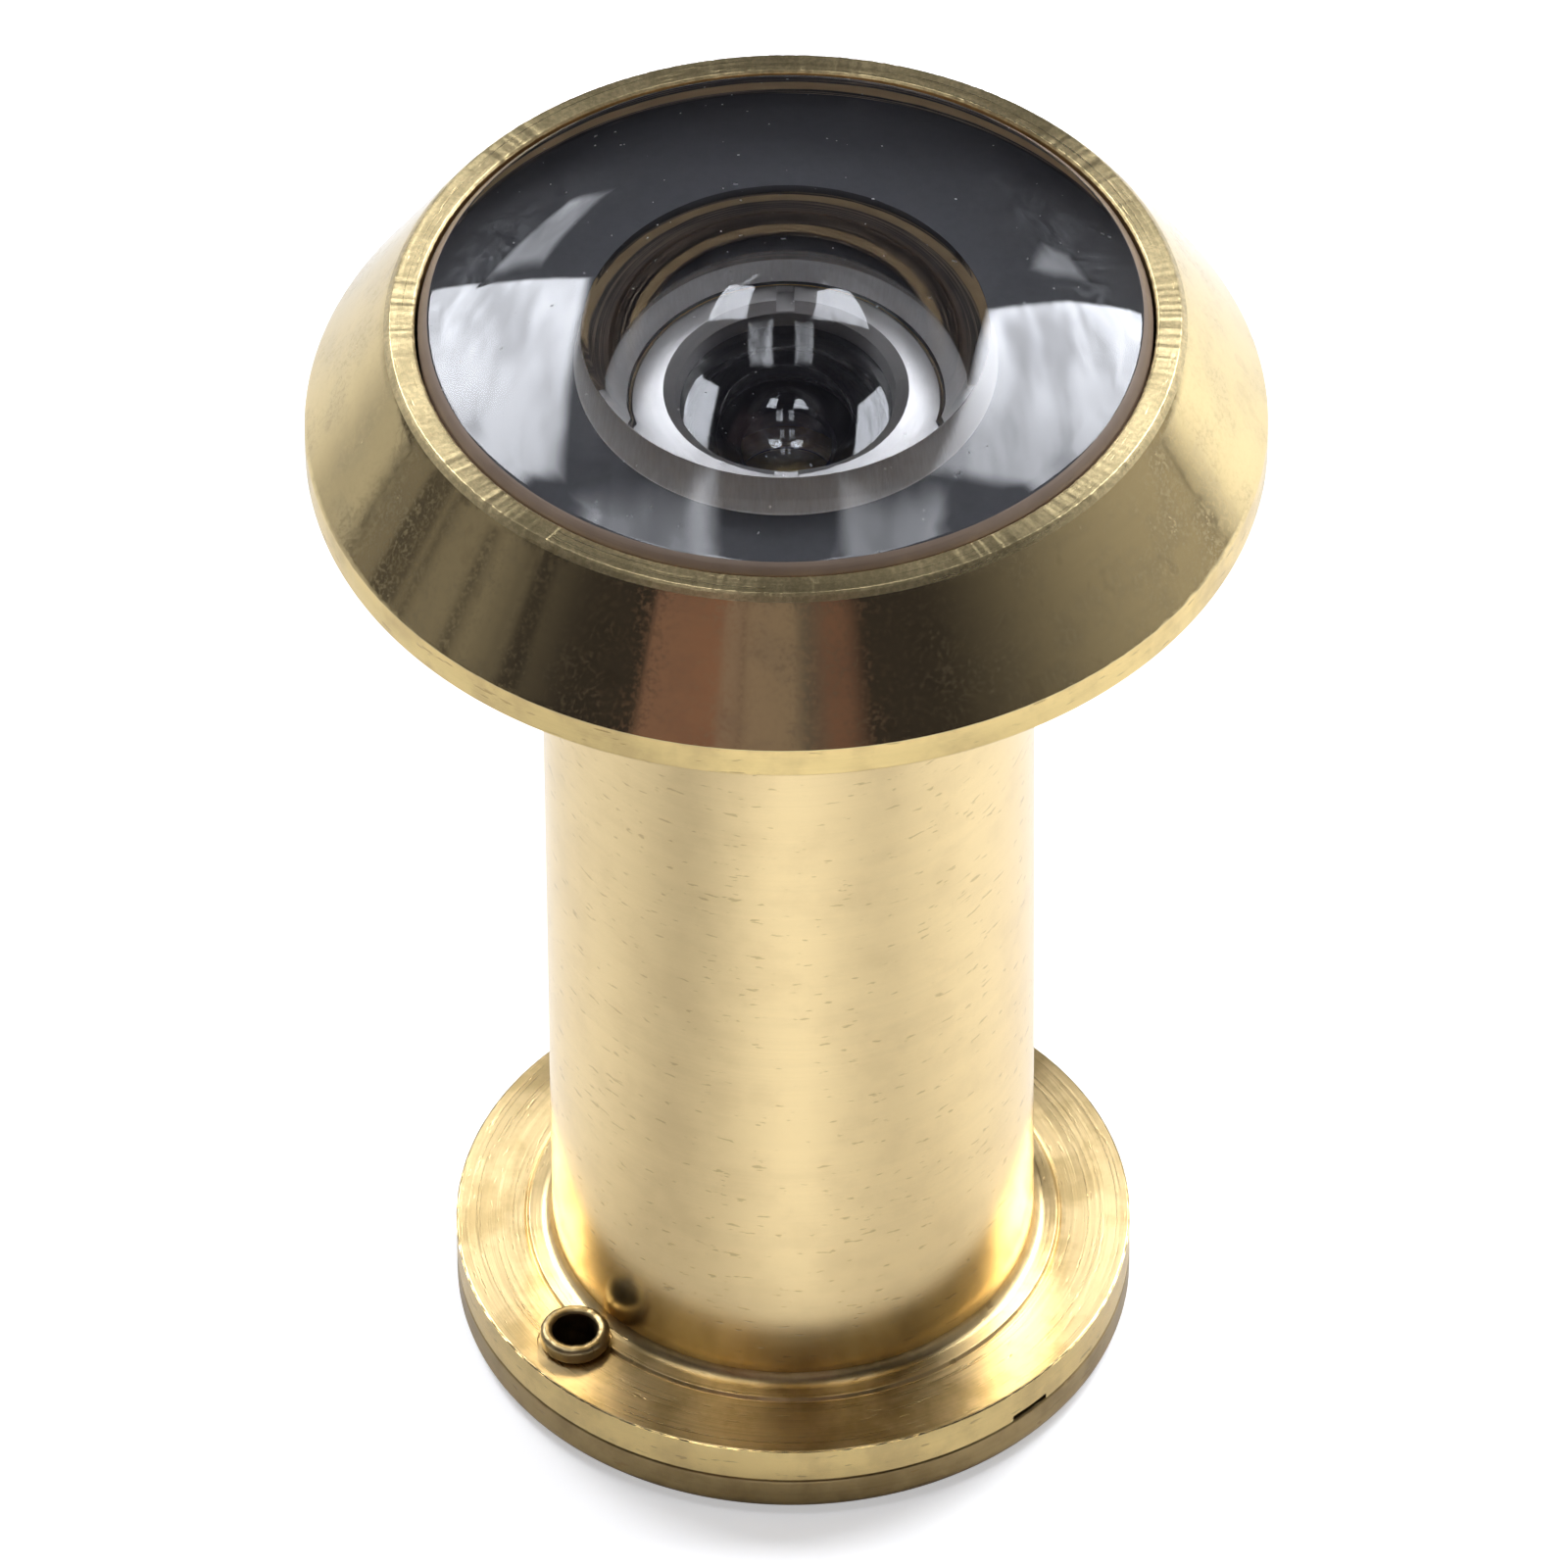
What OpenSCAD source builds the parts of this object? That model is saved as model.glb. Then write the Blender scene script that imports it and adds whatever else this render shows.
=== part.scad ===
// Door viewer with a swinging privacy cover, for a 16 mm hole through a door.
// It stands on its room side: the cover is at the bottom and the street-side lens at the top.
// The optical axis is +Z, and z = 0 is the lowest point, the rivet head under the cover.
// The head is drawn screwed fully home, which is the thinnest door that the viewer fits.

/* [Sleeve] */
// Outer diameter of the smooth barrel that fills the hole in the door
sleeve_d = 15.5; // [15.3:0.1:16]
// Door thickness with the head screwed home: the distance between the two clamping faces
door_min = 33.9; // [31:0.1:38]
// Diameter of the room-side flange
flange_d = 21.7; // [21:0.1:24]
// Thickness of the room-side flange
flange_h = 1.3; // [1.1:0.1:1.8]
// Radius of the turned fillet at the foot of the barrel
foot_fillet = 0.4; // [0.2:0.05:0.5]
// Angle around the axis of the fingernail nick in the flange's lower edge
nick_angle = 314; // [290:1:340]

/* [Head] */
// Diameter of the street-side flange
head_d = 30; // [29:0.5:33]
// Height of the straight rim under the bevel
rim_h = 1.1; // [0.9:0.1:1.6]
// Height of the bevel, from the rim to the crest
bevel_h = 4.1; // [3.9:0.1:4.6]
// Outer diameter of the flat crest around the lens
crest_d = 24.6; // [24.4:0.1:26]
// Width of the flat crest
crest_w = 0.65; // [0.4:0.05:0.7]

/* [Thread] */
// Major diameter of the screw thread between the head's tube and the sleeve
thread_d = 14; // [13.8:0.1:14]
// Pitch of the thread
thread_pitch = 0.75; // [0.5:0.25:1]
// Length of the head's threaded tube below its flange
tube_len = 27.8; // [24:0.1:28]

/* [Front lens] */
// Diameter of the street-side lens
lens_d = 22.8; // [22:0.1:22.8]
// Height of the lens at its edge
lens_edge_h = 4.35; // [4.2:0.05:4.5]
// Radius of the lens's domed outer face
crown_r = 31.6; // [28:0.2:40]
// Diameter of the hollow in the lens's underside
bowl_d = 12; // [11.6:0.1:12]
// Height of the hollow's straight ground wall
bowl_wall_h = 2; // [1.8:0.1:2.1]
// Radius of the hollow's polished roof
bowl_r = 7.7; // [7.4:0.1:9]

/* [Cover] */
// Thickness of the swing cover
cover_h = 1.32; // [1:0.01:1.6]
// Rounding of the cover's outer edge
cover_round = 0.4; // [0.2:0.1:0.6]
// Distance of the rivet from the optical axis
rivet_at = 9.1; // [9.05:0.05:9.3]
// Angle of the rivet around the optical axis
rivet_angle = 219.5; // [200:0.5:240]
// Diameter of the rivet's shank
rivet_d = 1.9; // [1.7:0.1:1.9]
// Diameter of the hole down the rivet
rivet_hole_d = 1.45; // [1.2:0.05:1.5]
// Diameter of the rivet's rolled lip
lip_d = 2.25; // [2.1:0.05:2.3]
// Height of the rolled lip over its spot face
lip_h = 0.65; // [0.4:0.05:0.8]

/* [Inner lenses] */
// Diameter of the second and third lenses
inner_lens_d = 11.7; // [11.4:0.1:11.7]
// Height of the second lens at its edge
second_lens_h = 3; // [2.8:0.1:3.4]
// Length of the black spacer between the second and third lenses
spacer_len = 6; // [4:0.5:7]
// Diameter of the eyepiece lens
eye_lens_d = 10.8; // [10.4:0.1:10.8]

/* [Hidden] */

fn_body = 160;       // facets of the large turned forms
fn_small = 48;       // facets of the rivet and its hole
axial_gap = 0.03;    // air between faces that turn against each other
running_gap = 0.05;  // radial air between parts that turn in each other
chamfer = 0.12;      // broken edge of the turned parts
slot_w = 0.8;        // width of the spanner slots in the two threaded rings
slot_len = 14;       // length of the cut that makes both slots of a ring

// Heights up the optical axis
rivet_head_h = 0.25;
cover_z = rivet_head_h;
flange_z = cover_z + cover_h + axial_gap;
seat_z = flange_z + flange_h;          // room-side clamping face
head_z = seat_z + door_min;            // street-side clamping face
rim_z = head_z + rim_h;
crest_z = rim_z + bevel_h;
seat_relief_h = 0.15;                  // recess in the street-side face that takes the sleeve's end
sleeve_end_z = head_z + seat_relief_h - axial_gap;
pocket_z = head_z + 0.85;              // floor of the lens pocket
mask_h = 0.2;
lens_z = pocket_z + mask_h;            // underside of the front lens
lens_top_z = lens_z + lens_edge_h;

// Radii of the head
head_r = head_d / 2;
seat_relief_r = sleeve_d / 2 + 0.15;
crest_r = crest_d / 2;
mouth_r = crest_r - crest_w;           // wide mouth of the lens pocket
pocket_r = lens_d / 2 + 0.08;          // snug lower part of the pocket
mouth_depth = 1.5;
mask_hole_r = bowl_d / 2;
tube_bore_r = inner_lens_d / 2 + 0.1;
ledge_r = 4.7;                         // lip inside the tube that carries the third lens
lower_bore_r = 5.4;

// Radii of the thread
thread_r = thread_d / 2;
thread_depth = 0.61 * thread_pitch;
relief_len = 1.5;                      // thread relief under the head
tube_z = head_z - tube_len;            // lower end of the threaded tube

// Heights of the lens pack, down from the front lens
retainer_h = 1.6;
retainer_z = head_z - 0.85;
second_z = retainer_z - axial_gap - second_lens_h;
spacer_z = second_z - axial_gap - spacer_len;
third_lens_h = 3.4;
third_z = spacer_z - axial_gap - third_lens_h;
ledge_z = third_z - axial_gap;         // upper face of the ledge
ledge_h = 0.8;

// Eyepiece, from the room side
eye_pocket_r = eye_lens_d / 2 + 0.15;
eye_web_z = flange_z + 4.1;            // roof of the eyepiece pocket
eye_web_h = 0.8;
eye_hole_r = 4.3;
gasket_h = 0.3;
eye_lens_h = 1.2;                      // straight edge of the eyepiece lens
eye_lens_z = eye_web_z - gasket_h - eye_lens_h;
eye_ring_z = flange_z + 0.2;

// Rivet and the spot face around its lip
spot_depth = 0.05;
spot_r = lip_d / 2 + 0.08;
lip_z = seat_z - spot_depth + axial_gap;

// Points of an arc from angle a0 to a1 around (x, y), as the turned profiles use them
function arc(x, y, r, a0, a1, n = 10) =
    [for (i = [0 : n]) [x + r * cos(a0 + (a1 - a0) * i / n), y + r * sin(a0 + (a1 - a0) * i / n)]];

// Crests and roots of the thread from z_low up, as plain rings at the thread's pitch
function thread_points(r, depth, z_low, length) =
    [for (i = [0 : floor(length / thread_pitch) - 1])
        each [[r, z_low + i * thread_pitch], [r, z_low + (i + 0.12) * thread_pitch],
              [r - depth, z_low + (i + 0.56) * thread_pitch]]];

module turned(points, fn = fn_body) {
    rotate_extrude($fn = fn) polygon(points);
}

// A flat ring between two radii
module ring(r_out, r_in, z, h) {
    translate([0, 0, z]) difference() {
        cylinder(r = r_out, h = h, $fn = fn_body);
        translate([0, 0, -1]) cylinder(r = r_in, h = h + 2, $fn = fn_body);
    }
}

module at_rivet() {
    rotate([0, 0, rivet_angle]) translate([rivet_at, 0, 0]) children();
}

// Barrel and room-side flange, turned from one bar
module sleeve() {
    barrel_r = sleeve_d / 2;
    flange_r = flange_d / 2;
    bore_r = thread_r + running_gap;
    step_r = barrel_r + foot_fillet + 0.35;
    step_h = 0.08;
    nick_depth = 0.9;
    nick_w = 1.5;
    nick_h = 0.25;
    outline = concat(
        [[eye_pocket_r, flange_z], [flange_r - chamfer / 2, flange_z],
         [flange_r, flange_z + chamfer / 2], [flange_r, seat_z - chamfer / 2],
         [flange_r - chamfer / 2, seat_z], [step_r + step_h, seat_z], [step_r, seat_z + step_h]],
        arc(barrel_r + foot_fillet, seat_z + foot_fillet + step_h, foot_fillet, 270, 180),
        [[barrel_r, sleeve_end_z - chamfer], [barrel_r - chamfer, sleeve_end_z],
         [bore_r + chamfer, sleeve_end_z], [bore_r, sleeve_end_z - chamfer],
         [bore_r, eye_web_z + eye_web_h],
         [eye_hole_r, eye_web_z + eye_web_h], [eye_hole_r, eye_web_z],
         [eye_pocket_r, eye_web_z]]
    );
    color("goldenrod") difference() {
        turned(outline);
        at_rivet() translate([0, 0, flange_z - 1])
            cylinder(r = rivet_d / 2 + running_gap, h = flange_h + 3, $fn = fn_small);
        at_rivet() translate([0, 0, seat_z - spot_depth])
            cylinder(r = spot_r, h = 1, $fn = fn_small);
        rotate([0, 0, nick_angle])
            translate([flange_r - nick_depth, -nick_w / 2, flange_z - 1])
                cube([2, nick_w, 1 + nick_h]);
    }
}

// Street-side flange, bevelled bezel and threaded tube, turned from one bar
module head() {
    outline = concat(
        [[lower_bore_r, tube_z], [thread_r - thread_depth, tube_z]],
        thread_points(thread_r, thread_depth, tube_z + 0.3, tube_len - relief_len - 0.3),
        [[thread_r - thread_depth, head_z - relief_len],
         [thread_r - thread_depth, head_z + seat_relief_h],
         [seat_relief_r, head_z + seat_relief_h], [seat_relief_r, head_z],
         [head_r - chamfer, head_z], [head_r, head_z + chamfer], [head_r, rim_z],
         [crest_r, crest_z], [mouth_r + chamfer, crest_z], [mouth_r, crest_z - chamfer],
         [mouth_r, crest_z - mouth_depth], [pocket_r, crest_z - mouth_depth - 0.3],
         [pocket_r, pocket_z], [tube_bore_r, pocket_z], [tube_bore_r, ledge_z],
         [ledge_r, ledge_z], [ledge_r, ledge_z - ledge_h],
         [lower_bore_r, ledge_z - ledge_h - 0.5]]
    );
    color("gold") turned(outline);
}

// Domed street-side lens, with a deep hollow in its underside
module front_lens() {
    edge = 0.32;
    lens_r = lens_d / 2;
    crown_edge_r = lens_r - edge;
    crown_z = lens_top_z - sqrt(pow(crown_r, 2) - pow(crown_edge_r, 2));
    roof_z = lens_z + bowl_wall_h - sqrt(pow(bowl_r, 2) - pow(bowl_d / 2, 2));
    color("lightcyan", 0.4) difference() {
        intersection() {
            translate([0, 0, crown_z]) sphere(r = crown_r, $fn = 240);
            union() {
                translate([0, 0, lens_z])
                    cylinder(r = lens_r, h = lens_edge_h - edge, $fn = fn_body);
                translate([0, 0, lens_top_z - edge])
                    cylinder(r1 = lens_r, r2 = crown_edge_r, h = edge, $fn = fn_body);
                translate([0, 0, lens_top_z])
                    cylinder(r = crown_edge_r, h = 5, $fn = fn_body);
            }
        }
        translate([0, 0, lens_z - 1])
            cylinder(r = bowl_d / 2, h = bowl_wall_h + 1, $fn = fn_body);
        intersection() {
            translate([0, 0, roof_z]) sphere(r = bowl_r, $fn = fn_body);
            translate([0, 0, lens_z + bowl_wall_h - 0.01])
                cylinder(r = bowl_d / 2, h = 6, $fn = fn_body);
        }
    }
}

// Black ring between the lens and the floor of its pocket
module lens_mask() {
    color("black") ring(lens_d / 2, mask_hole_r, pocket_z, mask_h);
}

// Threaded ring over the lens pack, with two slots for a pin spanner
module lens_retainer() {
    ring_r = tube_bore_r - running_gap;
    hole_r = 4.3;
    top_z = retainer_z + retainer_h;
    slot_depth = 0.5;
    color("darkgoldenrod") difference() {
        turned([[hole_r, retainer_z], [ring_r, retainer_z], [ring_r, top_z],
                [hole_r + 0.4, top_z], [hole_r, top_z - 0.6]]);
        translate([-slot_w / 2, -slot_len / 2, top_z - slot_depth])
            cube([slot_w, slot_len, 1]);
    }
}

// Second lens: flat above, hollow below
module second_lens() {
    hollow_r = 5;
    hollow_edge = 4.3;
    hollow_z = second_z - sqrt(pow(hollow_r, 2) - pow(hollow_edge, 2));
    color("lightcyan", 0.4) difference() {
        translate([0, 0, second_z])
            cylinder(r = inner_lens_d / 2, h = second_lens_h, $fn = fn_body);
        translate([0, 0, hollow_z]) sphere(r = hollow_r, $fn = fn_body);
    }
}

module lens_spacer() {
    color("black") ring(inner_lens_d / 2, 5.1, spacer_z, spacer_len);
}

// Third lens: both faces domed, between a spacer and the ledge in the tube
module third_lens() {
    dome_r = 16;
    middle_z = third_z + third_lens_h / 2;
    half_h = third_lens_h / 2 + 0.6;
    color("lightcyan", 0.4) intersection() {
        translate([0, 0, middle_z + half_h - dome_r]) sphere(r = dome_r, $fn = fn_body);
        translate([0, 0, middle_z - half_h + dome_r]) sphere(r = dome_r, $fn = fn_body);
        translate([0, 0, middle_z])
            cylinder(r = inner_lens_d / 2, h = 8, center = true, $fn = fn_body);
    }
}

// Eyepiece lens, domed on its room side and flat against its gasket
module eyepiece_lens() {
    dome_r = 14;
    lens_r = eye_lens_d / 2;
    dome_z = eye_lens_z + sqrt(pow(dome_r, 2) - pow(lens_r, 2));
    color("lightcyan", 0.4) intersection() {
        translate([0, 0, dome_z]) sphere(r = dome_r, $fn = fn_body);
        translate([0, 0, eye_lens_z - 2]) cylinder(r = lens_r, h = 2 + eye_lens_h, $fn = fn_body);
    }
}

module eyepiece_gasket() {
    color("dimgray") ring(eye_lens_d / 2, eye_hole_r, eye_web_z - gasket_h, gasket_h);
}

// Threaded ring that holds the eyepiece lens, with two slots for a pin spanner
module eyepiece_ring() {
    ring_r = eye_pocket_r - running_gap;
    hole_r = 4.1;
    seat_drop = 0.15;    // the lens's dome hangs this far into the ring
    slot_depth = 0.5;
    color("goldenrod") difference() {
        turned([[hole_r, eye_ring_z + 0.6], [hole_r + 0.8, eye_ring_z], [ring_r, eye_ring_z],
                [ring_r, eye_lens_z - seat_drop], [ring_r - 0.35, eye_lens_z - seat_drop],
                [hole_r + 0.4, eye_lens_z - 0.55], [hole_r, eye_lens_z - 1]]);
        translate([-slot_len / 2, -slot_w / 2, eye_ring_z - 1])
            cube([slot_len, slot_w, 1 + slot_depth]);
    }
}

// Round cover over the eyepiece, with a rounded outer edge
module swing_cover() {
    cover_r = flange_d / 2;
    top_z = cover_z + cover_h;
    outline = concat(
        [[0, cover_z]],
        arc(cover_r - cover_round, cover_z + cover_round, cover_round, 270, 360),
        [[cover_r, top_z - chamfer / 2], [cover_r - chamfer / 2, top_z], [0, top_z]]
    );
    color("gold") difference() {
        turned(outline);
        at_rivet() translate([0, 0, cover_z - 1])
            cylinder(r = rivet_d / 2, h = cover_h + 2, $fn = fn_small);
    }
}

// Tubular rivet: a low head under the cover, and a lip rolled out over the flange
module cover_rivet() {
    shank_r = rivet_d / 2;
    hole_r = rivet_hole_d / 2;
    lip_r = lip_d / 2;
    roll = 0.18;
    rivet_head_r = 1.25;
    outline = concat(
        [[0, 0], [rivet_head_r - 0.2, 0], [rivet_head_r, 0.1], [rivet_head_r, cover_z],
         [shank_r, cover_z], [shank_r, lip_z]],
        arc(lip_r - roll, lip_z + roll, roll, 290, 360, 6),
        arc(lip_r - roll, lip_z + lip_h - roll, roll, 0, 90, 6),
        [[hole_r + 0.1, lip_z + lip_h], [hole_r, lip_z + lip_h - 0.1],
         [hole_r, cover_z + 0.3], [0, cover_z + 0.1]]
    );
    color("darkgoldenrod") at_rivet() turned(outline, fn_small);
}

sleeve();
eyepiece_ring();
eyepiece_lens();
eyepiece_gasket();
head();
front_lens();
lens_mask();
lens_retainer();
second_lens();
lens_spacer();
third_lens();
swing_cover();
cover_rivet();
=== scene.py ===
"""Door viewer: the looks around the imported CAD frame.

Every piece is turned from a profile of (radius, height) points in millimetres, in the row frame.
"""

import math

import bpy
import numpy as np
from mathutils import Matrix, Vector

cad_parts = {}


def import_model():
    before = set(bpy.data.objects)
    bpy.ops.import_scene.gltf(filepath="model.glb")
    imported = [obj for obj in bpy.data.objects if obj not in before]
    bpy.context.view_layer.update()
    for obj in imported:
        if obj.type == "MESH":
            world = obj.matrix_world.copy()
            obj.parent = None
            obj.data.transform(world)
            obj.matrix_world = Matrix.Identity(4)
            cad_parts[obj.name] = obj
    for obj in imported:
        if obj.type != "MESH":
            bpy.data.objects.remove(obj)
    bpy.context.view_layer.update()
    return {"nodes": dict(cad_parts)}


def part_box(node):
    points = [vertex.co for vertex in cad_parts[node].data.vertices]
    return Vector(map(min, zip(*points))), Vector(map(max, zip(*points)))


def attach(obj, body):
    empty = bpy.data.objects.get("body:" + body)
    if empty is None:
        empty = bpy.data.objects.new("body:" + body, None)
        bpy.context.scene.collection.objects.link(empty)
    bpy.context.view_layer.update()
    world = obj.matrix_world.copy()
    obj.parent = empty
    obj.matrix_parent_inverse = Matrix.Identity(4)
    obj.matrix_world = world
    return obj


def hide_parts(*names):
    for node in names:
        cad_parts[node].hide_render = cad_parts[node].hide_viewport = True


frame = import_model()
NODES = frame["nodes"]

MM = 0.001
TAU = 2 * math.pi


# ---------------------------------------------------------------- heights and radii, from the CAD nodes
def top(node):
    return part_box(node)[1].z / MM


def bottom(node):
    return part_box(node)[0].z / MM


def reach(node):
    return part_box(node)[1].x / MM


COVER_Z, COVER_TOP = bottom("swing_cover"), top("swing_cover")
FLANGE_Z, SLEEVE_END = bottom("sleeve"), top("sleeve")
SEAT_Z = FLANGE_Z + 1.3
FLANGE_R = reach("sleeve")
BARREL_R = 7.75
HEAD_Z = SLEEVE_END - 0.12
CREST_Z = top("head")
RIM_Z = HEAD_Z + 1.1
HEAD_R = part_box("head")[1].y / MM
TUBE_Z = bottom("head")
POCKET_Z = bottom("lens_mask")
LENS_Z = bottom("front_lens")
LENS_R = reach("front_lens")
RIVET_ANGLE = math.radians(219.5)
RIVET_AT = 9.1
NICK_ANGLE = math.radians(314)
PITCH = 0.75


# ---------------------------------------------------------------- mesh building
def noise_ring(count, waves, seed):
    """A smooth random line round a circle, about -1 to 1, with up to that many waves in a turn."""
    rng = np.random.default_rng(seed)
    angle = np.arange(count) * TAU / count
    line = np.zeros(count)
    for _ in range(60):
        k = rng.integers(waves // 8 + 1, waves)
        line += np.sin(k * angle + rng.uniform(0, TAU)) * rng.uniform(0.4, 1)
    return line / (np.abs(line).max() + 1e-9)


def fillet(points, radius=0.06, steps=3):
    """Rounds every corner of a closed or open profile. A point may carry its own radius as a third number.
    Each straight face gets a support point close to the rounding, so that it shades flat."""
    out = []
    count = len(points)
    for i, p in enumerate(points):
        here = Vector(p[:2])
        r = p[2] if len(p) > 2 else radius
        if p[0] <= 1e-6 or r == 0:
            out.append(tuple(here))
            continue
        before, after = Vector(points[i - 1][:2]), Vector(points[(i + 1) % count][:2])
        a, b = before - here, after - here
        la, lb = a.length, b.length
        a, b = a / la, b / lb
        turn = math.acos(max(-1, min(1, a.dot(b))))
        if turn > math.radians(176):
            out.append(tuple(here))
            continue
        cut = min(r / math.tan(turn / 2), 0.42 * la, 0.42 * lb)
        r = cut * math.tan(turn / 2)
        middle = (a + b).normalized() * (r / math.sin(turn / 2)) + here
        start, end = here + a * cut, here + b * cut
        u, w = start - middle, end - middle
        sweep = u.angle_signed(w) * -1
        support = min(0.02, 0.1 * la, 0.1 * lb)
        out.append(tuple(start + a * support))
        for k in range(steps + 1):
            t = sweep * k / steps
            c, s = math.cos(t), math.sin(t)
            out.append((middle.x + u.x * c - u.y * s, middle.y + u.x * s + u.y * c))
        out.append(tuple(end + b * support))
    return out


def arc(x, y, r, a0, a1, steps=8):
    a0, a1 = math.radians(a0), math.radians(a1)
    return [(x + r * math.cos(a0 + (a1 - a0) * i / steps), y + r * math.sin(a0 + (a1 - a0) * i / steps), 0)
            for i in range(steps + 1)]


class Turning:
    """Rings of vertices round the axis, joined one to the next."""

    def __init__(self):
        self.verts, self.faces, self.slots = [], [], []

    def ring(self, r, z, count):
        """r and z are numbers or arrays of one value per vertex, in mm. A radius of 0 is one vertex."""
        first = len(self.verts)
        if np.ndim(r) == 0 and r < 1e-6:
            self.verts.append((0, 0, float(np.mean(z)) * MM))
            return first, 1
        angle = np.arange(count) * TAU / count
        r, z = np.broadcast_to(r, count), np.broadcast_to(z, count)
        self.verts += [tuple(v) for v in np.stack([r * np.cos(angle), r * np.sin(angle), z], 1) * MM]
        return first, count

    def join(self, a, b, slot=0):
        (fa, na), (fb, nb) = a, b
        made = []
        if na == nb:
            for i in range(na):
                j = (i + 1) % na
                made.append((fa + i, fa + j, fb + j, fb + i))
        elif na == 1:
            made = [(fa, fb + (i + 1) % nb, fb + i) for i in range(nb)]
        elif nb == 1:
            made = [(fa + i, fa + (i + 1) % na, fb) for i in range(na)]
        elif na > nb:
            k = na // nb
            for i in range(nb):
                for s in range(k):
                    made.append((fa + i * k + s, fa + (i * k + s + 1) % na, fb + i))
                made.append((fa + (i * k + k) % na, fb + (i + 1) % nb, fb + i))
        else:
            k = nb // na
            for i in range(na):
                for s in range(k):
                    made.append((fa + i, fb + (i * k + s + 1) % nb, fb + i * k + s))
                made.append((fa + i, fa + (i + 1) % na, fb + (i * k + k) % nb))
        self.faces += made
        self.slots += [slot] * len(made)

    def profile(self, points, count, closed=True, slot_of=None, burrs=()):
        """points is the outline; burrs lists (index range test, waves, size, seed) for rough edges."""
        rings = []
        for r, z in points:
            rr, zz = r, z
            for test, waves, size, seed in burrs:
                if test(r, z):
                    rr = r - (1 + noise_ring(count, waves, seed)) * size / 2
                    zz = z - (1 + noise_ring(count, waves, seed + 1)) * size / 2
            rings.append(self.ring(rr, zz, count))
        pairs = list(zip(rings, rings[1:] + rings[:1])) if closed else list(zip(rings, rings[1:]))
        for i, (a, b) in enumerate(pairs):
            if a[1] == 1 and b[1] == 1:
                continue
            r, z = points[i]
            r2, z2 = points[(i + 1) % len(points)]
            self.join(a, b, slot_of((r + r2) / 2, (z + z2) / 2) if slot_of else 0)
        return rings

    def build(self, name, materials, matrix=None):
        mesh = bpy.data.meshes.new(name)
        mesh.from_pydata(self.verts, [], self.faces)
        for m in materials:
            mesh.materials.append(m)
        mesh.polygons.foreach_set("material_index", self.slots)
        if matrix is not None:
            mesh.transform(matrix)
        mesh.update()
        finish_mesh(mesh)
        obj = bpy.data.objects.new(name, mesh)
        bpy.context.scene.collection.objects.link(obj)
        return obj


def finish_mesh(mesh):
    """Outward faces, smooth shading, and sharp lines only where two faces meet at a real angle."""
    import bmesh

    bm = bmesh.new()
    bm.from_mesh(mesh)
    bmesh.ops.recalc_face_normals(bm, faces=bm.faces)
    bm.to_mesh(mesh)
    bm.free()
    mesh.shade_smooth()
    mesh.set_sharp_from_angle(angle=math.radians(50))
    mesh.update()


def cut(obj, cutters):
    """Takes the cutters out of obj, and removes them."""
    for c in cutters:
        m = obj.modifiers.new("cut", "BOOLEAN")
        m.operation, m.solver, m.object = "DIFFERENCE", "EXACT", c
    dg = bpy.context.evaluated_depsgraph_get()
    mesh = bpy.data.meshes.new_from_object(obj.evaluated_get(dg))
    old = obj.data
    obj.modifiers.clear()
    obj.data = mesh
    mesh.name = obj.name
    bpy.data.meshes.remove(old)
    for c in cutters:
        bpy.data.objects.remove(c)
    finish_mesh(mesh)


def place(angle, radius):
    """A matrix that puts something drawn at the origin at that angle and radius."""
    return Matrix.Rotation(angle, 4, "Z") @ Matrix.Translation((radius * MM, 0, 0))


def turned(name, points, count, materials, body, slot, nodes, matrix=None, **options):
    t = Turning()
    t.profile(points, count, **options)
    obj = t.build(name, materials, matrix)
    settle(obj, body, nodes)
    return obj


def settle(obj, body, nodes):
    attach(obj, body)
    if nodes:
        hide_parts(*nodes)


def rivet_drill(name, outline, count, material):
    """A round cutter on the rivet's axis. outline runs from the axis out and back to it."""
    t = Turning()
    t.profile(outline, count, closed=False)
    return t.build(name, [material], place(RIVET_ANGLE, RIVET_AT))


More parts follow.
